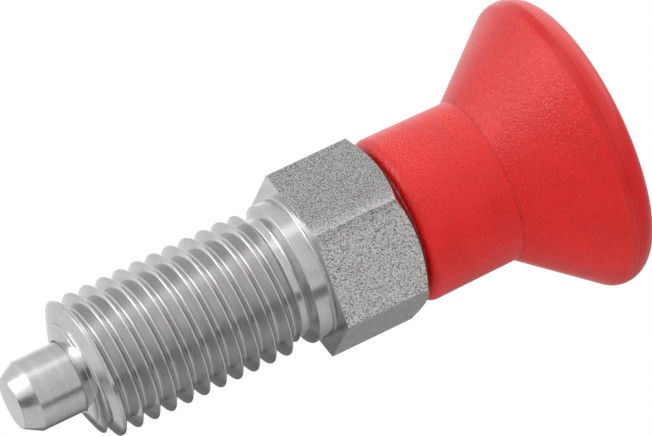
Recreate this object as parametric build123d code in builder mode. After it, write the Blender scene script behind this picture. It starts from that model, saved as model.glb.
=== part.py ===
from build123d import *
from math import asin, cos, degrees, radians, tan

# Spring-loaded indexing plunger: a threaded sleeve with a hexagon collar holds a locking pin that a coil
# spring pushes out of the front. A mushroom grip pressed on the pin's stem pulls it back and can turn freely.
# The axis is Z, with the grip at +Z. The origin is on the axis, in the seating face of the hexagon.
# All sizes are in millimetres.

# ---- threaded sleeve ----
thread_diameter = 12.0          # M12 x 1.5 major diameter; the shank is left plain here
thread_length = 20.85           # front face to hexagon seating face
end_face_diameter = 6.8         # narrow flat round the bore, in front of the end chamfer
end_chamfer_angle = 23.0        # of the end chamfer, from the face plane
relief_diameter = 10.1          # thread run-out groove in front of the collar
relief_width = 0.75             # flat bottom of that groove
relief_wall_angle = 28.0        # of that groove's walls, from the face plane
collar_diameter = 12.0
collar_length = 1.5             # full-diameter stretch in front of the hexagon
collar_fillet = 0.2             # between collar and hexagon
across_flats = 14.0
hex_length = 8.0
hex_chamfer_diameter = 13.66    # circle that the back chamfer leaves on the hexagon
hex_chamfer_angle = 30.0        # of the back chamfer, from the face plane
spigot_diameter = 10.0          # round neck behind the hexagon, inside the grip
spigot_length = 7.5
spigot_edge = 0.3
guide_length = 8.8              # length of bore that guides the locking pin
guide_edge = 0.15               # broken edge of the guide bore
chamber_diameter = 7.8          # spring chamber

# ---- locking pin ----
pin_diameter = 6.0
pin_projection = 5.1            # how far the pin stands out of the sleeve
tip_face_diameter = 4.4
tip_chamfer_length = 1.4
shoulder_length = 1.5
stem_diameter = 4.0
stem_edge = 0.4
press_length = 5.0              # ribbed end of the stem that bites into the grip
rib_count = 16
rib_height = 0.12
rib_width = 0.35

# ---- spring and the bush that retains it ----
wire_diameter = 0.8
coil_diameter = 6.2             # mean diameter of the coils
active_coils = 12
closed_coils = 1                # closed turns at each end
coil_gap = 0.05                 # between the closed turns
ground_depth = 0.2              # ground off each end of the spring
bush_diameter = 8.4
bush_length = 3.0
bush_edge = 0.25

# ---- mushroom grip ----
neck_diameter = 14.16           # at the open front end
crease_diameter = 13.94         # where the neck turns into the flare
neck_length = 8.35
neck_edge = 0.5
flare_angle = 38.6              # of the flare, from the axis
rim_diameter = 25.0
rim_front_round = 1.5
rim_land = 0.1                  # straight stretch at the rim's largest diameter
rim_back_round = 1.95
dome_radius = 32.0
mouth_edge = 0.3

# ---- clearances and fits (radial, except the axial gaps) ----
pin_clearance = 0.03            # locking pin in the guide bore
shoulder_clearance = 0.1        # pin shoulder in the spring chamber
stem_clearance = 0.05           # stem in the bush
bush_interference = 0.01        # bush pressed into the sleeve
grip_clearance = 0.3            # grip neck over the spigot
grip_gap = 0.35                 # axial, between hexagon and grip
floor_gap = 0.4                 # axial, between spigot and the floor of the grip's hollow
hole_relief = 0.5               # axial, beyond the stem in the grip's blind hole

# ---- places along the axis ----
front_face = -thread_length
pin_tip = front_face - pin_projection
chamber_floor = front_face + guide_length
spring_front = chamber_floor + shoulder_length
spigot_end = hex_length + spigot_length
bush_seat = spigot_end - bush_length
neck_front = hex_length + grip_gap
crease = neck_front + neck_length
hollow_floor = spigot_end + floor_gap
stem_end = hollow_floor + press_length

# ---- radii ----
thread_radius = thread_diameter / 2
end_face_radius = end_face_diameter / 2
relief_radius = relief_diameter / 2
collar_radius = collar_diameter / 2
spigot_radius = spigot_diameter / 2
pin_radius = pin_diameter / 2
stem_radius = stem_diameter / 2
shoulder_radius = chamber_diameter / 2 - shoulder_clearance
counterbore_radius = bush_diameter / 2 - bush_interference
hex_corner_radius = across_flats / 2 / cos(radians(30))


# The sleeve is turned from hexagon bar. Its back corners are chamfered. In front of the hexagon stand a filleted
# collar, the run-out groove and the shank that carries the thread, with an end chamfer. A stepped bore runs
# right through: pin guide, spring chamber and the counterbore that takes the bush.
hex_chamfer_drop = (hex_corner_radius - hex_chamfer_diameter / 2) * tan(radians(hex_chamfer_angle))
end_chamfer_height = (thread_radius - end_face_radius) * tan(radians(end_chamfer_angle))
seat_fillet = min(collar_fillet, (across_flats - collar_diameter) / 4)
relief_slope = tan(radians(relief_wall_angle))
relief_back = -collar_length - (collar_radius - relief_radius) * relief_slope
relief_front = relief_back - relief_width
relief_start = relief_front - (thread_radius - relief_radius) * relief_slope

with BuildPart() as threaded_sleeve:
    with BuildSketch(Plane.XY):
        RegularPolygon(across_flats / 2, 6, major_radius=False)
    extrude(amount=hex_length)
    with BuildSketch(Plane.XZ):
        with BuildLine():
            Polyline(
                (0, 0),
                (hex_corner_radius, 0),
                (hex_corner_radius, hex_length - hex_chamfer_drop),
                (hex_chamfer_diameter / 2, hex_length),
                (0, hex_length),
                close=True,
            )
        make_face()
    revolve(axis=Axis.Z, mode=Mode.INTERSECT)
    with BuildSketch(Plane.XZ):
        with BuildLine():
            shank = Polyline(
                (0, front_face),
                (end_face_radius, front_face),
                (thread_radius, front_face + end_chamfer_height),
                (thread_radius, relief_start),
                (relief_radius, relief_front),
                (relief_radius, relief_back),
                (collar_radius, -collar_length),
                (collar_radius, -seat_fillet),
            )
            seat_corner = JernArc(shank @ 1, shank % 1, seat_fillet, -90)
            Polyline(
                seat_corner @ 1,
                (spigot_radius, 0),
                (spigot_radius, spigot_end - spigot_edge),
                (spigot_radius - spigot_edge, spigot_end),
                (0, spigot_end),
                shank @ 0,
            )
        make_face()
    revolve(axis=Axis.Z)
    guide_radius = pin_radius + pin_clearance
    with BuildSketch(Plane.XZ):
        with BuildLine():
            Polyline(
                (0, front_face),
                (guide_radius + guide_edge, front_face),
                (guide_radius, front_face + guide_edge),
                (guide_radius, chamber_floor),
                (chamber_diameter / 2, chamber_floor),
                (chamber_diameter / 2, bush_seat),
                (counterbore_radius, bush_seat),
                (counterbore_radius, spigot_end),
                (0, spigot_end),
                close=True,
            )
        make_face()
    revolve(axis=Axis.Z, mode=Mode.SUBTRACT)
threaded_sleeve.part.label = "threaded_sleeve"
export_step(threaded_sleeve.part, "parts/threaded_sleeve.step")


# The locking pin is one ground piece: chamfered end, guide length, the shoulder that stops on the chamber floor,
# and the stem. Straight ribs on the stem's end hold the grip.
with BuildPart() as indexing_pin:
    with BuildSketch(Plane.XZ):
        with BuildLine():
            Polyline(
                (0, pin_tip),
                (tip_face_diameter / 2, pin_tip),
                (pin_radius, pin_tip + tip_chamfer_length),
                (pin_radius, chamber_floor),
                (shoulder_radius, chamber_floor),
                (shoulder_radius, spring_front),
                (stem_radius, spring_front),
                (stem_radius, stem_end - stem_edge),
                (stem_radius - stem_edge, stem_end),
                (0, stem_end),
                close=True,
            )
        make_face()
    revolve(axis=Axis.Z)
    with BuildSketch(Plane.XY.offset(stem_end - press_length + stem_edge)):
        with PolarLocations(stem_radius, rib_count):
            Rectangle(2 * rib_height, rib_width)
    extrude(amount=press_length - 2 * stem_edge)
indexing_pin.part.label = "indexing_pin"
export_step(indexing_pin.part, "parts/indexing_pin.step")


# The spring is wound from round wire. A closed turn at each end is ground flat, and the open turns between
# share what is left of the space between the pin's shoulder and the bush.
wire_radius = wire_diameter / 2
closed_pitch = wire_diameter + coil_gap
closed_height = closed_coils * closed_pitch
wire_start = spring_front + wire_radius - ground_depth
wire_end = bush_seat - wire_radius + ground_depth
active_height = wire_end - wire_start - 2 * closed_height
coil_stages = [
    (wire_start, closed_pitch, closed_height),
    (wire_start + closed_height, active_height / active_coils, active_height),
    (wire_end - closed_height, closed_pitch, closed_height),
]

with BuildPart() as compression_spring:
    for start, pitch, height in coil_stages:
        with BuildLine():
            coil = Helix(pitch, height, coil_diameter / 2, center=(0, 0, start))
        with BuildSketch(Plane.XZ):
            with Locations((coil_diameter / 2, start)):
                Circle(wire_radius)
        sweep(path=coil, is_frenet=True)
    split(bisect_by=Plane.XY.offset(spring_front), keep=Keep.TOP)
    split(bisect_by=Plane.XY.offset(bush_seat), keep=Keep.BOTTOM)
compression_spring.part.label = "compression_spring"
export_step(compression_spring.part, "parts/compression_spring.step")


# The bush is pressed into the back of the sleeve. It seats on the counterbore's step and guides the stem.
with BuildPart() as guide_bush:
    with BuildSketch(Plane.XY.offset(bush_seat)):
        Circle(bush_diameter / 2)
        Circle(stem_radius + stem_clearance, mode=Mode.SUBTRACT)
    extrude(amount=bush_length)
    chamfer(guide_bush.edges().group_by(Axis.Z)[0].sort_by(SortBy.RADIUS)[-1], bush_edge)
guide_bush.part.label = "guide_bush"
export_step(guide_bush.part, "parts/guide_bush.step")


# The grip is one plastic moulding. Its hollow neck slides over the sleeve's spigot, the flare runs out to a
# rounded rim, and the end is a shallow dome that is tangent to the rim's back round.
rim_radius = rim_diameter / 2
crease_radius = crease_diameter / 2
flare_end_radius = rim_radius - rim_front_round * (1 - cos(radians(flare_angle)))
flare_end = crease + (flare_end_radius - crease_radius) / tan(radians(flare_angle))
dome_turn = degrees(asin((rim_radius - rim_back_round) / (dome_radius - rim_back_round)))
hollow_radius = spigot_radius + grip_clearance

with BuildPart() as mushroom_grip:
    with BuildSketch(Plane.XZ):
        with BuildLine():
            front = Line((0, neck_front), (neck_diameter / 2 - neck_edge, neck_front))
            lip = JernArc(front @ 1, front % 1, neck_edge, 90)
            neck = Line(lip @ 1, (crease_radius, crease))
            flare = Line(neck @ 1, (flare_end_radius, flare_end))
            front_round = JernArc(flare @ 1, flare % 1, rim_front_round, flare_angle)
            land = Line(front_round @ 1, (rim_radius, (front_round @ 1).Y + rim_land))
            back_round = JernArc(land @ 1, land % 1, rim_back_round, 90 - dome_turn)
            dome = JernArc(back_round @ 1, back_round % 1, dome_radius, dome_turn)
            Line(dome @ 1, front @ 0)
        make_face()
    revolve(axis=Axis.Z)
    with BuildSketch(Plane.XZ):
        with BuildLine():
            Polyline(
                (0, neck_front),
                (hollow_radius + mouth_edge, neck_front),
                (hollow_radius, neck_front + mouth_edge),
                (hollow_radius, hollow_floor),
                (stem_radius, hollow_floor),
                (stem_radius, stem_end + hole_relief),
                (0, stem_end + hole_relief),
                close=True,
            )
        make_face()
    revolve(axis=Axis.Z, mode=Mode.SUBTRACT)
mushroom_grip.part.label = "mushroom_grip"
export_step(mushroom_grip.part, "parts/mushroom_grip.step")
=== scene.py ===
from math import asin, atan2, ceil, cos, pi, radians, sin, tan

import bmesh
import bpy
from mathutils import Matrix, Vector


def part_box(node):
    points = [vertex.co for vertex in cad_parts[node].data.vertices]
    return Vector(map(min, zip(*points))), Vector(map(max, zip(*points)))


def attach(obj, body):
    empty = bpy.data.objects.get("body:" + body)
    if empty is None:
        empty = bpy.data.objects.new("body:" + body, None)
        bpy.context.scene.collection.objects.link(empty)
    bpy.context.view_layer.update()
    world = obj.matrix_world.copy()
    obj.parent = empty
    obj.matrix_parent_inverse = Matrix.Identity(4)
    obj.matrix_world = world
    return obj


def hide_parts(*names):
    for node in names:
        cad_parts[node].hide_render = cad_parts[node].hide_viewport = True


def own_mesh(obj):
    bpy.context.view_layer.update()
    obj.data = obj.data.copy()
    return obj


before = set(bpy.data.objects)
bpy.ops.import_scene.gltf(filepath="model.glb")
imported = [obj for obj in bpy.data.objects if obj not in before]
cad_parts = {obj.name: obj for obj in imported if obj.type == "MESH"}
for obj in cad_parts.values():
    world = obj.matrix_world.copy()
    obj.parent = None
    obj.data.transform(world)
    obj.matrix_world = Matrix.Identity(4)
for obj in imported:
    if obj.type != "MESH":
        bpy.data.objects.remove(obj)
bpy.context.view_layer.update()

# ---- threaded sleeve ----
# The body is turned from stainless hexagon bar: fine thread, run-out groove and collar in front of the
# hexagon, a plain spigot behind it, and a stepped bore right through. The flats keep the pitted skin of
# the drawn bar, and all else is turned bright. Meshes are drawn in millimetres and placed in metres.
mm = 0.001
full_turn = 2 * pi
sleeve_low, sleeve_high = (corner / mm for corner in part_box("threaded_sleeve"))
front_face = sleeve_low.z
spigot_end = sleeve_high.z
thread_radius = 6.0
thread_pitch = 1.5
end_face_radius = 3.4
end_chamfer_height = 1.104
end_chamfer_slope = 0.4245      # of the chamfer as far as the fine line on it
bore_mouth_radius = 3.14
bore_mouth_chamfer = 0.1
tool_line_radius = 4.24         # of a fine line that the turning tool left on the end chamfer
tool_line_width = 0.12
tool_line_depth = 0.03
tool_line_side = 0.01           # width of its steep side
relief_radius = 5.05
relief_start = -3.26
relief_front = -2.755
relief_back = -2.005
relief_fillet = 0.3
collar_front = -1.5
collar_fillet = 0.2
hex_corner_radius = sleeve_high.x
hex_flat = hex_corner_radius * cos(radians(30))
hex_length = 8.0
hex_chamfer_radius = 6.83
hex_corner_round = 0.16
spigot_radius = 5.0
spigot_edge = 0.3
guide_radius = 3.03
guide_end = -12.05
chamber_radius = 3.9
bush_seat = 12.5
counterbore_radius = 4.19
turned_edge = 0.05
overlap = 0.01                  # of two stretches that are joined into one
thread_segments = 192

camera_side = radians(-108.1)   # azimuth about the axis of the side that faces the viewer
lit_side = camera_side - pi / 2
crest_height = -18.14           # of a thread crest on the lit side


def soften(outline, step=radians(15)):
    """Rounds the corners of an outline of (radius, height, rounding) points."""
    points = []
    for index, (radius, height, rounding) in enumerate(outline):
        corner = Vector((radius, height))
        if not rounding:
            points.append(corner)
            continue
        before = (Vector(outline[index - 1][:2]) - corner).normalized()
        after = (Vector(outline[index + 1][:2]) - corner).normalized()
        opening = before.angle(after)
        centre = corner + (before + after).normalized() * rounding / sin(opening / 2)
        start = corner + before * rounding / tan(opening / 2) - centre
        sweep = (pi - opening) * (1 if before.cross(after) < 0 else -1)
        steps = ceil(abs(sweep) / step)
        for count in range(steps + 1):
            points.append(centre + Matrix.Rotation(sweep * count / steps, 2) @ start)
    return points


def lathe(outline, segments):
    """Turns an outline of (radius, height) points into a mesh, closed if both its ends are on the axis."""
    mesh = bmesh.new()
    rings = []
    for radius, height in outline:
        if radius < 1e-6:
            rings.append([mesh.verts.new((0, 0, height))] * segments)
            continue
        angles = [full_turn * index / segments for index in range(segments)]
        rings.append([mesh.verts.new((radius * cos(angle), radius * sin(angle), height)) for angle in angles])
    for low, high in zip(rings, rings[1:]):
        for index in range(segments):
            beside = (index + 1) % segments
            corners = [low[index], low[beside], high[beside], high[index]]
            mesh.faces.new(dict.fromkeys(corners))
    bmesh.ops.recalc_face_normals(mesh, faces=mesh.faces)
    return mesh


def tube(rings):
    """A closed mesh through rings of points, with a flat face at each end."""
    mesh = bmesh.new()
    rings = [[mesh.verts.new(point) for point in ring] for ring in rings]
    for first, second in zip(rings, rings[1:]):
        for index in range(len(first)):
            beside = (index + 1) % len(first)
            mesh.faces.new((first[index], second[index], second[beside], first[beside]))
    mesh.faces.new(rings[0])
    mesh.faces.new(reversed(rings[-1]))
    bmesh.ops.recalc_face_normals(mesh, faces=mesh.faces)
    return mesh


def as_object(name, mesh, materials):
    """A Blender object made of a bmesh."""
    data = bpy.data.meshes.new(name)
    mesh.to_mesh(data)
    mesh.free()
    made = bpy.data.objects.new(name, data)
    bpy.context.scene.collection.objects.link(made)
    for material in materials:
        data.materials.append(material)
    return made


def machine(work, tool, operation):
    """Cuts the tool from the work, joins it on, or keeps what they share, and takes the tool away."""
    step = work.modifiers.new("machine", "BOOLEAN")
    step.object = tool
    step.operation = operation
    step.solver = "EXACT"
    step.material_mode = "INDEX"
    evaluated = work.evaluated_get(bpy.context.evaluated_depsgraph_get())
    data = bpy.data.meshes.new_from_object(evaluated)
    work.modifiers.clear()
    work.data = data
    bpy.data.objects.remove(tool)


def place(piece, body, cad_node, sharp=20):
    """Scales a piece from millimetres to metres, smooths it between its sharp edges and seats it."""
    piece.data.transform(Matrix.Scale(mm, 4))
    piece.data.polygons.foreach_set("use_smooth", [True] * len(piece.data.polygons))
    piece.data.set_sharp_from_angle(angle=radians(sharp))
    normals = piece.modifiers.new("even_normals", "WEIGHTED_NORMAL")
    normals.keep_sharp = True
    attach(piece, body)
    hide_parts(cad_node)


def hexagon_bar():
    """The hexagon with its slightly rounded corners, a broken front edge, and plain ends."""
    centre = hex_corner_radius - hex_corner_round / cos(radians(30))
    corners = []
    for index in range(6):
        azimuth = index * pi / 3
        for turn in (-30, -15, 0, 15, 30):
            swing = azimuth + radians(turn)
            corners.append(Vector((
                centre * cos(azimuth) + hex_corner_round * cos(swing),
                centre * sin(azimuth) + hex_corner_round * sin(swing),
                0,
            )))
    mesh = bmesh.new()
    rings = []
    for height, inset in ((0, turned_edge), (turned_edge, 0), (hex_length, 0)):
        shrink = 1 - inset / hex_flat
        rings.append([mesh.verts.new(corner * shrink + Vector((0, 0, height))) for corner in corners])
    for low, high in zip(rings, rings[1:]):
        for index in range(len(corners)):
            beside = (index + 1) % len(corners)
            face = mesh.faces.new((low[index], low[beside], high[beside], high[index]))
            face.material_index = 1   # the drawn skin
    mesh.faces.new(reversed(rings[0]))
    mesh.faces.new(rings[-1])
    return mesh


def threading_tool():
    """The path of the threading tool: a helical wedge with a round tip, which leaves rounded crests."""
    flank_angle = radians(30)
    arc = radians(60)
    arc_steps = 5
    tip_round = 0.2
    crest_round = 0.06
    crest_corner = thread_pitch * 0.46
    shoulder = 0.03                 # by which the tool is wider outside the blank
    clearance = 0.05                # of the tool's back from the blank
    neck_height = 0.005             # of the tool's edge above the blank, where it gets wider
    run_out_slope = 0.2             # at which the tool leaves the work over the run-out groove
    first_cut_end = -19.3           # up to here the first turn is cut deeper and nearer to the end
    first_cut_fade = 0.5
    first_cut_deeper = 0.25
    first_cut_shift = 0.19
    flank_depth = (crest_corner - tip_round * sin(arc)) / tan(flank_angle)
    tip_radius = thread_radius - flank_depth - tip_round * (1 - cos(arc))
    half = []
    for index in range(arc_steps + 1):
        swing = arc * index / arc_steps
        half.append(Vector((tip_radius + tip_round * (1 - cos(swing)), tip_round * sin(swing))))
    centre = Vector((thread_radius - crest_round, crest_corner + crest_round * tan(flank_angle)))
    for index in range(arc_steps):
        swing = arc * (index / arc_steps - 1)
        half.append(centre + crest_round * Vector((cos(swing), sin(swing))))
    half.append(Vector((thread_radius + neck_height, centre.y + shoulder)))
    half.append(Vector((thread_radius + clearance, centre.y + shoulder)))
    section = [Vector((point.x, -point.y)) for point in reversed(half[1:])] + half
    start = crest_height - 2.5 * thread_pitch
    turns = (relief_back - start) / thread_pitch
    rings = []
    for step in range(int(turns * thread_segments)):
        height = start + step * thread_pitch / thread_segments
        angle = lit_side + full_turn * step / thread_segments
        lift = max(0, height - relief_start) * run_out_slope
        early = min(max((first_cut_end - height) / first_cut_fade, 0), 1)
        drop = first_cut_shift * early
        ring = []
        for point in section:
            inward = max(0, (thread_radius - point.x) / (thread_radius - tip_radius))
            reach = point.x + lift - first_cut_deeper * early * inward
            ring.append((reach * cos(angle), reach * sin(angle), height + point.y - drop))
        rings.append(ring)
    return tube(rings)


def lead_in_tool():
    """The narrow channel that winds out over the end chamfer to where the thread begins."""
    first_degree = 92               # from the viewer's side, against the winding of the thread
    last_degree = 12
    degree_step = 2
    fade_in = 24                    # degrees over which the channel grows to its full width
    start_radius = 4.36
    outward_per_degree = 0.0065
    channel_radius = 0.09
    least_radius = 0.001
    sides = 10
    rings = []
    for degree in range(first_degree, last_degree - 1, -degree_step):
        turned = first_degree - degree
        radius = start_radius + turned * outward_per_degree
        chamfer_share = (radius - end_face_radius) / (thread_radius - end_face_radius)
        width = max(channel_radius * min(1, turned / fade_in), least_radius)
        angle = camera_side - radians(degree)
        ring = []
        for side in range(sides):
            swing = full_turn * side / sides
            reach = radius + width * cos(swing)
            height = front_face + chamfer_share * end_chamfer_height + width * sin(swing)
            ring.append((reach * cos(angle), reach * sin(angle), height))
        rings.append(ring)
    return tube(rings)


def node(tree, kind, settings=None, **inputs):
    """Adds a shader node. An input, by name or as _number, takes a value or the socket that feeds it."""
    made = tree.nodes.new("ShaderNode" + kind)
    for name, value in (settings or {}).items():
        setattr(made, name, value)
    for name, value in inputs.items():
        socket = made.inputs[int(name[1:]) if name[1:].isdigit() else name.replace("_", " ")]
        if isinstance(value, bpy.types.NodeSocket):
            tree.links.new(value, socket)
        else:
            socket.default_value = value
    return made


def group(name, inputs, outputs):
    """A shader node group with float inputs and outputs."""
    tree = bpy.data.node_groups.new(name, "ShaderNodeTree")
    for label, value in inputs.items():
        socket = tree.interface.new_socket(name=label, in_out="INPUT", socket_type="NodeSocketFloat")
        socket.default_value = value
    for label in outputs:
        tree.interface.new_socket(name=label, in_out="OUTPUT", socket_type="NodeSocketFloat")
    return tree, tree.nodes.new("NodeGroupInput").outputs, tree.nodes.new("NodeGroupOutput").inputs


def grouped(tree, name, **inputs):
    """Places a shader node group in a tree, with its own values."""
    made = node(tree, "Group", {"node_tree": bpy.data.node_groups[name]}, **inputs)
    return made.outputs


def reckon(tree, operation, first, second=0.0, third=0.0):
    """The result of one step of arithmetic in a material."""
    return node(tree, "Math", {"operation": operation}, _0=first, _1=second, _2=third).outputs[0]


def blended(tree, low, high, share):
    """A colour between two, each of them a colour or the socket that gives it."""
    low, high = (end if isinstance(end, bpy.types.NodeSocket) else (*end, 1) for end in (low, high))
    return node(tree, "Mix", {"data_type": "RGBA"}, _0=share, _6=low, _7=high).outputs[2]


# Lines that a lathe or grinder leaves: they run round the axis, so they depend on radius and height, and they
# waver only a little with the angle.
tree, given, result = group(
    "turning_lines", {"Lines per mm": 12.0, "Waviness": 0.5}, ("Height", "Tone"))
place_of = node(tree, "TexCoord").outputs["Object"]
parts = node(tree, "SeparateXYZ", _0=place_of).outputs
square = reckon(tree, "MULTIPLY_ADD", parts[0], parts[0], reckon(tree, "MULTIPLY", parts[1], parts[1]))
radius_out = reckon(tree, "SQRT", square)
angle_out = reckon(tree, "ARCTAN2", parts[1], parts[0])
lines = reckon(tree, "MULTIPLY", given["Lines per mm"], 1 / mm)
sway = reckon(tree, "MULTIPLY", angle_out, given["Waviness"])
across = node(tree, "CombineXYZ",
              _0=reckon(tree, "MULTIPLY", radius_out, lines),
              _1=reckon(tree, "MULTIPLY", parts[2], lines), _2=sway).outputs[0]
fine = node(tree, "TexNoise", Vector=across, Scale=1.0, Detail=3.0, Roughness=0.7).outputs[0]
broad = node(tree, "TexNoise", Vector=across, Scale=0.11, Detail=2.0, Roughness=0.5).outputs[0]
tree.links.new(fine, result["Height"])
tree.links.new(broad, result["Tone"])

# Slow cloudy changes of tone, as on any handled or cleaned surface.
tree, given, result = group("cloudiness", {"Size mm": 2.0}, ("Tone",))
spots = node(tree, "VectorMath", {"operation": "SCALE"},
             _0=node(tree, "TexCoord").outputs["Object"],
             Scale=reckon(tree, "DIVIDE", 1 / mm, given["Size mm"])).outputs[0]
drift = node(tree, "TexNoise", Vector=spots, Scale=1.0, Detail=4.0).outputs[0]
tree.links.new(drift, result["Tone"])

# The even grit of a fine blasted or ground surface.
tree, given, result = group("fine_grit", {"Grains per mm": 8.0}, ("Height",))
spots = node(tree, "VectorMath", {"operation": "SCALE"},
             _0=node(tree, "TexCoord").outputs["Object"],
             Scale=reckon(tree, "MULTIPLY", 1 / mm, given["Grains per mm"])).outputs[0]
grit = node(tree, "TexNoise", Vector=spots, Scale=1.0, Detail=1.0, Roughness=0.6).outputs[0]
tree.links.new(grit, result["Height"])

# Bright worn edges: where the surface turns within a small radius, broken up by a fine noise.
tree, given, result = group("edge_wear", {"Radius mm": 0.08, "Breaks": 0.5}, ("Mask",))
wear_radius = reckon(tree, "MULTIPLY", given["Radius mm"], mm)
rounded = node(tree, "Bevel", {"samples": 8}, Radius=wear_radius).outputs[0]
plain = node(tree, "NewGeometry").outputs["Normal"]
turned_by = reckon(tree, "SUBTRACT", 1.0, node(
    tree, "VectorMath", {"operation": "DOT_PRODUCT"}, _0=rounded, _1=plain).outputs["Value"])
edge = node(tree, "MapRange", Value=turned_by, From_Min=0.01, From_Max=0.12).outputs[0]
place_of = node(tree, "TexCoord").outputs["Object"]
nicks = node(tree, "TexNoise", Vector=place_of, Scale=4 / mm, Detail=2.0).outputs[0]
kept = node(tree, "MapRange", Value=nicks, From_Min=0.3, From_Max=0.6,
            To_Min=reckon(tree, "SUBTRACT", 1.0, given["Breaks"])).outputs[0]
tree.links.new(reckon(tree, "MULTIPLY", edge, kept), result["Mask"])


def metal(name, dark, light, roughness, lines, relief, grit=0.0012):
    """Turned or ground bright metal: fine grit over lines round the axis, and bright edges."""
    edge_tone = (0.85, 0.85, 0.84)
    material = bpy.data.materials.new(name)
    material.use_nodes = True
    tree = material.node_tree
    shader = tree.nodes["Principled BSDF"]
    marks = grouped(tree, "turning_lines", Lines_per_mm=lines)
    specks = grouped(tree, "fine_grit", Grains_per_mm=9.0)["Height"]
    clouds = grouped(tree, "cloudiness", Size_mm=1.6)["Tone"]
    wear = grouped(tree, "edge_wear")["Mask"]
    tone = reckon(tree, "MULTIPLY_ADD", marks["Tone"], 0.3, reckon(
        tree, "MULTIPLY_ADD", specks, 0.4, reckon(tree, "MULTIPLY", clouds, 0.3)))
    share = node(tree, "MapRange", Value=tone, From_Min=0.35, From_Max=0.65).outputs[0]
    colour = blended(tree, dark, light, share)
    worn = blended(tree, colour, edge_tone, reckon(tree, "MULTIPLY", wear, 0.5))
    tree.links.new(worn, shader.inputs["Base Color"])
    dullness = node(tree, "MapRange", Value=tone, From_Min=0.35, From_Max=0.65,
                    To_Min=roughness * 0.8, To_Max=roughness * 1.2).outputs[0]
    tree.links.new(dullness, shader.inputs["Roughness"])
    ribbed = node(tree, "Bump", Height=marks["Height"], Distance=relief * mm, Strength=1.0).outputs[0]
    gritty = node(tree, "Bump", Height=specks, Distance=grit * mm, Strength=1.0, Normal=ribbed).outputs[0]
    tree.links.new(gritty, shader.inputs["Normal"])
    shader.inputs["Metallic"].default_value = 1.0
    return material


steel_dark = (0.503, 0.50, 0.496)
steel_light = (0.643, 0.64, 0.636)
turned_steel = metal("turned_steel", steel_dark, steel_light, roughness=0.15, lines=14.0, relief=0.0008)

# The skin of the drawn bar is dull grey and full of small dark pits, drawn out a little along the bar. Its
# colour is painted darker on the lit side and lighter away from it, as painted shade and painted light.
drawn_steel = bpy.data.materials.new("drawn_steel")
drawn_steel.use_nodes = True
tree = drawn_steel.node_tree
shader = tree.nodes["Principled BSDF"]
spot = node(tree, "Mapping", {"vector_type": "POINT"}, Vector=node(tree, "TexCoord").outputs["Object"],
            Scale=(1 / mm, 1 / mm, 0.8 / mm)).outputs[0]
pits = node(tree, "TexNoise", Vector=spot, Scale=11.5, Detail=2.0, Roughness=0.6, Distortion=0.2).outputs[0]
grit = node(tree, "TexNoise", Vector=spot, Scale=23.0, Detail=2.0, Roughness=0.6).outputs[0]
wear = grouped(tree, "edge_wear", Radius_mm=0.12, Breaks=0.7)["Mask"]
clouds = grouped(tree, "cloudiness", Size_mm=2.6)["Tone"]
depth = node(tree, "MapRange", Value=pits, From_Min=0.33, From_Max=0.55).outputs[0]
# Painted shade and light: toward the lit side the skin's colour is scaled down, away from it scaled up.
lit_height = node(tree, "VectorMath", {"operation": "DOT_PRODUCT"},
                  _0=node(tree, "TexCoord").outputs["Object"],
                  _1=(cos(lit_side), sin(lit_side), 0)).outputs["Value"]
painted_shade_by_side = node(tree, "MapRange", {"interpolation_type": "SMOOTHSTEP"}, Value=lit_height,
                  From_Min=0.3 * mm, From_Max=3 * mm, To_Min=1.3, To_Max=0.62).outputs[0]
skin = node(tree, "ValToRGB", _0=reckon(
    tree, "MULTIPLY_ADD", grit, 0.45, reckon(tree, "MULTIPLY", depth, 0.55)))
bottom, top = skin.color_ramp.elements
bottom.position = 0.25
bottom.color = (0.10, 0.10, 0.098, 1)
top.position = 0.78
top.color = (0.68, 0.68, 0.665, 1)
shaded = node(tree, "VectorMath", {"operation": "SCALE"}, _0=skin.outputs[0], Scale=painted_shade_by_side).outputs[0]
worn = blended(tree, shaded, (0.72, 0.72, 0.71), reckon(tree, "MULTIPLY", wear, 0.7))
tree.links.new(worn, shader.inputs["Base Color"])
dullness = node(tree, "MapRange", Value=clouds, To_Min=0.27, To_Max=0.40).outputs[0]
tree.links.new(dullness, shader.inputs["Roughness"])
pitted = node(tree, "Bump", Height=reckon(tree, "MULTIPLY_ADD", grit, 0.5, depth),
              Distance=0.03 * mm, Strength=1.0).outputs[0]
tree.links.new(pitted, shader.inputs["Normal"])
shader.inputs["Metallic"].default_value = 1.0

sleeve_finishes = (turned_steel, drawn_steel)
tool_line = [
    (radius, front_face + (radius - end_face_radius) * end_chamfer_slope + depth, 0)
    for radius, depth in (
        (tool_line_radius, 0),
        (tool_line_radius + tool_line_side, tool_line_depth),
        (tool_line_radius + tool_line_width, 0),
    )
]
blank = lathe(soften([
    (0, front_face, 0),
    (bore_mouth_radius, front_face, 0),
    *tool_line,
    (thread_radius, front_face + end_chamfer_height, 0),
    (thread_radius, relief_start, 0),
    (relief_radius, relief_front, relief_fillet),
    (relief_radius, relief_back, relief_fillet),
    (thread_radius, collar_front, turned_edge),
    (thread_radius, overlap, collar_fillet),
    (thread_radius + 2 * collar_fillet, overlap, 0),
    (thread_radius + 2 * collar_fillet, hex_length / 2, 0),
    (spigot_radius, hex_length / 2, 0),
    (spigot_radius, spigot_end, spigot_edge),
    (0, spigot_end, 0),
]), thread_segments)
threaded_sleeve = as_object("threaded_sleeve_body", blank, sleeve_finishes)

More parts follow.
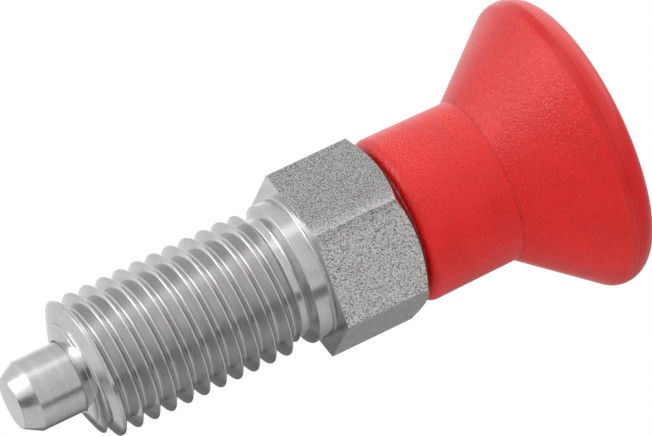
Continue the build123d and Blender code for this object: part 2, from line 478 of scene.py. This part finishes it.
# The hexagon's back corners are chamfered, and then the bore, the thread and the lead-in are cut.
margin = 1.0                    # by which a tool reaches past the work
hex_chamfer_slope = tan(radians(30))
chamfer_drop = (hex_corner_radius - hex_chamfer_radius) * hex_chamfer_slope
hexagon = as_object("hexagon", hexagon_bar(), sleeve_finishes)
chamfer_limit = lathe([
    (0, -margin),
    (hex_corner_radius + margin, -margin),
    (hex_corner_radius + margin, hex_length - chamfer_drop - margin * hex_chamfer_slope),
    (hex_chamfer_radius - margin, hex_length + margin * hex_chamfer_slope),
    (0, hex_length + margin * hex_chamfer_slope),
], thread_segments)
machine(hexagon, as_object("chamfer_limit", chamfer_limit, sleeve_finishes), "INTERSECT")
machine(threaded_sleeve, hexagon, "UNION")
bore = lathe([
    (0, front_face - margin),
    (guide_radius + bore_mouth_chamfer + margin, front_face - margin),
    (guide_radius, front_face + bore_mouth_chamfer),
    (guide_radius, guide_end),
    (chamber_radius, guide_end),
    (chamber_radius, bush_seat),
    (counterbore_radius, bush_seat),
    (counterbore_radius, spigot_end + margin),
    (0, spigot_end + margin),
], 96)
machine(threaded_sleeve, as_object("bore", bore, sleeve_finishes), "DIFFERENCE")
machine(threaded_sleeve, as_object("threading_tool", threading_tool(), sleeve_finishes), "DIFFERENCE")
machine(threaded_sleeve, as_object("lead_in_tool", lead_in_tool(), sleeve_finishes), "DIFFERENCE")
place(threaded_sleeve, "sleeve", "threaded_sleeve")

# ---- indexing pin ----
# The locking pin is one ground stainless piece with a chamfered end. Inside the sleeve it has the shoulder
# that the spring pushes on, and a stem whose ribbed end is pressed into the grip.
pin_low, pin_high = (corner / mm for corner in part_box("indexing_pin"))
pin_radius = 3.0
pin_end_radius = 2.2
pin_end_length = 1.4
pin_edge = 0.05
shoulder_radius = 3.8
shoulder_end = -10.55
stem_radius = 2.0
stem_edge = 0.4
rib_inset = 0.4                 # of the ribs from the end of the stem
rib_length = 4.2
rib_end = pin_high.z - rib_inset
rib_start = rib_end - rib_length
rib_height = 0.12
rib_count = 16
rib_step = 0.01                 # over which a rib rises at each of its ends

pin = lathe(soften([
    (0, pin_low.z, 0),
    (pin_end_radius, pin_low.z, pin_edge),
    (pin_radius, pin_low.z + pin_end_length, pin_edge),
    (pin_radius, guide_end, 0),
    (shoulder_radius, guide_end, pin_edge),
    (shoulder_radius, shoulder_end, pin_edge),
    (stem_radius, shoulder_end, 0),
    (stem_radius, rib_start, 0),
    (stem_radius, rib_start + rib_step, 0),
    (stem_radius, rib_end - rib_step, 0),
    (stem_radius, rib_end, 0),
    (stem_radius - stem_edge, pin_high.z, 0),
    (0, pin_high.z, 0),
]), 160)
for vertex in pin.verts:
    across_rib = cos(rib_count * atan2(vertex.co.y, vertex.co.x))
    if rib_start + rib_step / 2 < vertex.co.z < rib_end - rib_step / 2 and across_rib > 0.5:
        vertex.co.xy *= 1 + rib_height / stem_radius
ground_steel = metal("ground_steel", steel_dark, steel_light,
                     roughness=0.2, lines=20.0, relief=0.0006, grit=0.006)
indexing_pin = as_object("locking_pin", pin, (ground_steel,))
place(indexing_pin, "plunger", "indexing_pin")

# ---- compression spring ----
# The spring is wound from round stainless wire with a closed turn at each end, ground flat. It fills the
# chamber between the pin's shoulder and the bush, and shortens as the pin is pulled back.
spring_low, spring_high = (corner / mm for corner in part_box("compression_spring"))
wire_radius = 0.4
coil_radius = spring_high.y - wire_radius
closed_pitch = 0.85
ground_depth = 0.2
wire_start = spring_low.z + wire_radius - ground_depth
wire_end = spring_high.z - wire_radius + ground_depth
coil_count = 14
wire_sides = 14
coil_segments = 64

open_pitch = (wire_end - wire_start - 2 * closed_pitch) / (coil_count - 2)
rings = []
for step in range(coil_count * coil_segments + 1):
    turned = step / coil_segments
    open_turns = min(max(turned - 1, 0), coil_count - 2)
    height = wire_start + (turned - open_turns) * closed_pitch + open_turns * open_pitch
    angle = full_turn * turned
    ring = []
    for side in range(wire_sides):
        swing = full_turn * side / wire_sides
        reach = coil_radius + wire_radius * cos(swing)
        level = min(max(height + wire_radius * sin(swing), spring_low.z), spring_high.z)
        ring.append((reach * cos(angle), reach * sin(angle), level))
    rings.append(ring)
spring_wire = metal("spring_wire", (0.40, 0.40, 0.39), (0.55, 0.55, 0.54),
                    roughness=0.3, lines=6.0, relief=0.001)
compression_spring = as_object("coil_spring", tube(rings), (spring_wire,))
place(compression_spring, "spring", "compression_spring", sharp=40)
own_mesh(compression_spring)

# ---- guide bush ----
# A plain bush turned from stainless steel, with a chamfered front edge. It is pressed into the back of the
# sleeve, holds the spring in and guides the pin's stem.
bush_low, bush_high = (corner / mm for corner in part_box("guide_bush"))
bush_bore = 2.05
bush_edge = 0.25
bush = lathe([
    (bush_bore, bush_low.z),
    (bush_high.x - bush_edge, bush_low.z),
    (bush_high.x, bush_low.z + bush_edge),
    (bush_high.x, bush_high.z),
    (bush_bore, bush_high.z),
    (bush_bore, bush_low.z),
], 96)
bmesh.ops.remove_doubles(bush, verts=bush.verts, dist=1e-5)   # its outline comes back to where it starts
guide_bush = as_object("stem_bush", bush, (turned_steel,))
place(guide_bush, "sleeve", "guide_bush")

# ---- mushroom grip ----
# One moulding in red plastic with a fine leather grain on the neck and the flare. Its hollow neck slides over
# the spigot and its blind hole is pressed on the pin's ribs. The mould parts at the rim's largest diameter.
neck_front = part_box("mushroom_grip")[0].z / mm
neck_radius = 7.08
neck_edge = 0.9
neck_length = 8.35
crease = neck_front + neck_length
crease_radius = 6.97
flare_angle = radians(38.6)
rim_radius = 12.5
rim_front_round = 1.5
rim_land = 0.1
rim_back_round = 1.95
dome_radius = 32.0
hollow_radius = 5.3
hollow_corner_round = 0.2
floor_gap = 0.4                 # from the spigot's end to the floor of the hollow
hollow_floor = spigot_end + floor_gap
hole_gap = 0.5                  # from the stem's end to the end of the blind hole
hole_end = pin_high.z + hole_gap
mouth_edge = 0.3
parting_depth = 0.03
grip_segments = 192
round_steps = 16
dome_steps = 24
grain_fade = 0.125              # to each side of the flare's end, where the grain stops
crease_shade_reach = 0.16

flare_corner = crease + (rim_radius - crease_radius) / tan(flare_angle)
land_start = flare_corner + rim_front_round * tan(flare_angle / 2)
land_end = land_start + rim_land
parting_line = land_start + rim_land / 2
round_centre = rim_radius - rim_back_round
dome_turn = asin(round_centre / (dome_radius - rim_back_round))
dome_centre = land_end - (dome_radius - rim_back_round) * cos(dome_turn)
outline = soften([
    (0, hole_end, 0),
    (stem_radius, hole_end, 0),
    (stem_radius, hollow_floor, 0),
    (hollow_radius, hollow_floor, hollow_corner_round),
    (hollow_radius, neck_front + mouth_edge, 0),
    (hollow_radius + mouth_edge, neck_front, 0),
    (neck_radius, neck_front, neck_edge),
    (crease_radius, crease, 0),
    (rim_radius, flare_corner, rim_front_round),
    (rim_radius, parting_line - parting_depth, 0),
], radians(5))
outline.append(Vector((rim_radius - parting_depth, parting_line)))
outline.append(Vector((rim_radius, parting_line + parting_depth)))
for index in range(round_steps + 1):
    swing = (pi / 2 - dome_turn) * index / round_steps
    outline.append(Vector((round_centre, land_end)) + rim_back_round * Vector((cos(swing), sin(swing))))
for index in range(1, dome_steps + 1):
    swing = dome_turn * (1 - index / dome_steps)
    outline.append(Vector((dome_radius * sin(swing), dome_centre + dome_radius * cos(swing))))

grained_plastic = bpy.data.materials.new("grained_plastic")
grained_plastic.use_nodes = True
tree = grained_plastic.node_tree
shader = tree.nodes["Principled BSDF"]
spot = node(tree, "VectorMath", {"operation": "SCALE"}, _0=node(tree, "TexCoord").outputs["Object"],
            Scale=1 / mm).outputs[0]
grain = node(tree, "TexNoise", Vector=spot, Scale=6.0, Detail=1.0, Roughness=0.5, Distortion=0.1).outputs[0]
clouds = grouped(tree, "cloudiness", Size_mm=3.0)["Tone"]
up_axis = node(tree, "SeparateXYZ", _0=spot).outputs[2]
grained = node(tree, "MapRange", {"interpolation_type": "SMOOTHSTEP"}, Value=up_axis,
               From_Min=flare_corner - grain_fade, From_Max=flare_corner + grain_fade,
               To_Min=1.0, To_Max=0.1).outputs[0]
# Partly painted shade and light: the colour follows the grain, darker in its valleys and lighter on its
# pebbles, over slow random changes of tone.
pebble = reckon(tree, "MULTIPLY", grain, grained)
tone = reckon(tree, "MULTIPLY_ADD", clouds, 0.35, reckon(tree, "MULTIPLY", pebble, 0.65))
colour = blended(tree, (0.72, 0.006, 0.006), (0.97, 0.011, 0.010),
                 node(tree, "MapRange", Value=tone, From_Min=0.3, From_Max=0.65).outputs[0])
# Painted shade: the colour is darkened along the crease between the neck and the flare.
from_crease = reckon(tree, "ABSOLUTE", reckon(tree, "SUBTRACT", up_axis, crease))
shade = node(tree, "MapRange", Value=from_crease, From_Max=crease_shade_reach, To_Min=0.8).outputs[0]
colour = node(tree, "VectorMath", {"operation": "SCALE"}, _0=colour, Scale=shade).outputs[0]
tree.links.new(colour, shader.inputs["Base Color"])
dullness = node(tree, "MapRange", Value=grain, To_Min=0.30, To_Max=0.16).outputs[0]
tree.links.new(dullness, shader.inputs["Roughness"])
leather = node(tree, "Bump", Height=pebble, Distance=0.08 * mm, Strength=1.0).outputs[0]
tree.links.new(leather, shader.inputs["Normal"])
shader.inputs["IOR"].default_value = 1.5
mushroom_grip = as_object("grip_moulding", lathe(outline, grip_segments), (grained_plastic,))
place(mushroom_grip, "plunger", "mushroom_grip")

# ---- studio ----
# A pale floor far below, and a surround of soft light. It is brightest ahead of the front end and behind the
# grip, both on the lit side, and darkest on the far side. The background is white to the camera.
floor_level = -0.25
floor_half = 4.0
floor_data = bpy.data.meshes.new("floor")
floor_corners = [Vector((x, y, 0)) * floor_half for x, y in ((-1, -1), (1, -1), (1, 1), (-1, 1))]
floor_data.from_pydata([corner + Vector((0, 0, floor_level)) for corner in floor_corners], [], [(0, 1, 2, 3)])
floor = bpy.data.objects.new("floor", floor_data)
bpy.context.scene.collection.objects.link(floor)

# Reflections pass through the floor, so the metal mirrors only the surround and the cards.
paper = bpy.data.materials.new("paper")
paper.use_nodes = True
tree = paper.node_tree
shader = tree.nodes["Principled BSDF"]
shader.inputs["Base Color"].default_value = (0.88, 0.88, 0.88, 1)
shader.inputs["Roughness"].default_value = 0.9
seen = node(tree, "MixShader", _0=node(tree, "LightPath").outputs["Is Glossy Ray"], _1=shader.outputs[0],
            _2=node(tree, "BsdfTransparent").outputs[0])
tree.links.new(seen.outputs[0], tree.nodes["Material Output"].inputs[0])
floor_data.materials.append(paper)

toward_camera = Vector((cos(camera_side), sin(camera_side), 0))
toward_light = Vector((cos(lit_side), sin(lit_side), 0))


def card(name, corners, level):
    """A card that only reflections show, its corners in mm toward the camera, toward the light and up."""
    data = bpy.data.meshes.new(name)
    data.from_pydata([(toward_camera * out + toward_light * up + Vector((0, 0, height))) * mm
                      for out, up, height in corners], [], [(0, 1, 2, 3)])
    made = bpy.data.objects.new(name, data)
    bpy.context.scene.collection.objects.link(made)
    face = bpy.data.materials.new(name)
    face.use_nodes = True
    glow = node(face.node_tree, "Emission", Color=(1, 1, 1, 1), Strength=level)
    face.node_tree.links.new(glow.outputs[0], face.node_tree.nodes["Material Output"].inputs[0])
    data.materials.append(face)
    made.visible_camera = False
    made.visible_diffuse = False
    made.visible_shadow = False


# A white card stands beyond the pin's end and a dark one behind the sleeve, both away from the light.
card("white_card", ((-22, -14, -50), (16, -14, -50), (16, -14, -27), (-22, -14, -27)), 0.75)
card("dark_card", ((-60, -60, -36), (-60, -6, -36), (-60, -6, 10), (-60, -60, 10)), 0.2)

# The surround is a row of rings about the axis, which fade into one another from front to back. In each ring
# the level of light goes by the angle in degrees from the camera's side toward the lit side. Ahead of the pin
# it goes by the height toward the light instead.
world = bpy.data.worlds.new("studio")
bpy.context.scene.world = world
world.use_nodes = True
tree = world.node_tree
direction = node(tree, "TexCoord").outputs["Generated"]
facing, rising = (
    node(tree, "VectorMath", {"operation": "DOT_PRODUCT"}, _0=direction, _1=toward).outputs["Value"]
    for toward in (toward_camera, toward_light))
endwise = node(tree, "SeparateXYZ", _0=direction).outputs[2]
round_axis = reckon(tree, "MULTIPLY", reckon(tree, "ARCTAN2", rising, facing), 180 / pi)


def light_levels(place_on, levels):
    """Levels of light at places along one line of the surround, as a colour."""
    places = list(levels)
    span = places[-1] - places[0]
    ramp = node(tree, "ValToRGB", _0=node(
        tree, "MapRange", Value=place_on, From_Min=places[0], From_Max=places[-1]).outputs[0])
    stops = ramp.color_ramp.elements
    stops.remove(stops[1])
    for index, (where, level) in enumerate(levels.items()):
        stop = stops.new((where - places[0]) / span) if index else stops[0]
        stop.position = (where - places[0]) / span
        stop.color = (level, level, level, 1)
    return ramp.outputs[0]


beside = light_levels(round_axis, {
    -180: 0.85, -172: 0.85, -166: 0.27, -150: 0.30, -140: 0.36, -120: 0.50, -100: 0.63, -80: 0.72, -62: 0.66,
    -54: 0.24, -43: 0.24, -37: 0.80, -20: 0.72, 0: 0.80, 30: 0.86, 46: 0.95, 52: 1.35, 64: 1.35, 72: 0.88,
    120: 0.78, 140: 0.88, 158: 1.15, 170: 0.9, 180: 0.85,
})
around_lens = light_levels(round_axis, {
    -180: 0.85, -172: 0.85, -166: 0.27, -150: 0.30, -100: 0.5, -60: 0.60, -40: 0.60, 25: 0.80, 40: 1.6,
    56: 1.9, 68: 1.9, 79: 1.0, 140: 0.88, 180: 0.85,
})
in_front = light_levels(round_axis, {
    -180: 0.6, -165: 0.22, -60: 0.20, -23: 0.14, -3: 0.28, 2: 0.7, 8: 1.0, 23: 1.3,
    40: 2.0, 60: 3.2, 72: 7.5, 92: 7.5, 104: 3.4, 118: 1.5, 150: 0.95, 180: 0.8,
})
end_on = light_levels(rising, {
    -0.4: 0.55, -0.27: 0.6, -0.21: 0.26, -0.12: 0.22, 0.0: 0.30, 0.09: 0.70, 0.18: 0.95, 0.3: 1.0, 0.6: 1.6,
})
behind = light_levels(round_axis, {
    -180: 0.4, -120: 0.34, -100: 0.36, -66: 0.45, -54: 0.42, -42: 0.44, -34: 0.62, -20: 0.75, 0: 1.0, 45: 1.2,
    66: 1.7, 85: 1.9, 110: 1.9, 140: 1.2, 160: 0.9, 180: 0.4,
})


def changed_over(first, second, start, end):
    """One light fades into the next along the axis."""
    share = node(tree, "MapRange", {"interpolation_type": "SMOOTHSTEP"},
                 Value=endwise, From_Min=start, From_Max=end).outputs[0]
    return blended(tree, first, second, share)


surround = changed_over((1.05, 1.05, 1.05), end_on, -0.93, -0.895)
surround = changed_over(surround, in_front, -0.86, -0.74)
surround = changed_over(surround, around_lens, -0.66, -0.54)
surround = changed_over(surround, beside, -0.15, 0.15)
surround = changed_over(surround, behind, 0.33, 0.43)
backdrop = blended(tree, surround, (1, 1, 1), node(tree, "LightPath").outputs["Is Camera Ray"])
tree.links.new(backdrop, tree.nodes["Background"].inputs["Color"])

# ---- camera ----
# The camera looks at the plunger from below its front end, rolled so that the grip points up to the right. It
# stands far off, with a long lens.
camera_tilt = radians(16.1478)
camera_roll = radians(25.3868)
camera_distance = 488.754
origin_right = -2.1436
origin_down = 3.895
picture_width = 652
pixels_per_mm = 12.5502
camera = bpy.data.cameras.new("camera")
camera.sensor_width = 36
camera.lens = camera.sensor_width * pixels_per_mm * camera_distance / picture_width
camera_object = bpy.data.objects.new("camera", camera)
bpy.context.scene.collection.objects.link(camera_object)
bpy.context.scene.camera = camera_object
axis = Vector((0, 0, 1))
side = -toward_light
right = axis * cos(camera_tilt) * cos(camera_roll) + side * sin(camera_roll) \
    + toward_camera * sin(camera_tilt) * cos(camera_roll)
down = -axis * cos(camera_tilt) * sin(camera_roll) + side * cos(camera_roll) \
    - toward_camera * sin(camera_tilt) * sin(camera_roll)
sight = axis * sin(camera_tilt) - toward_camera * cos(camera_tilt)
station = -(right * origin_right + down * origin_down + sight * camera_distance) * mm
turned_to = Matrix((right, -down, -sight)).transposed().to_4x4()
camera_object.matrix_world = Matrix.Translation(station) @ turned_to
camera.clip_end = 20

bpy.context.scene.view_settings.view_transform = "Standard"
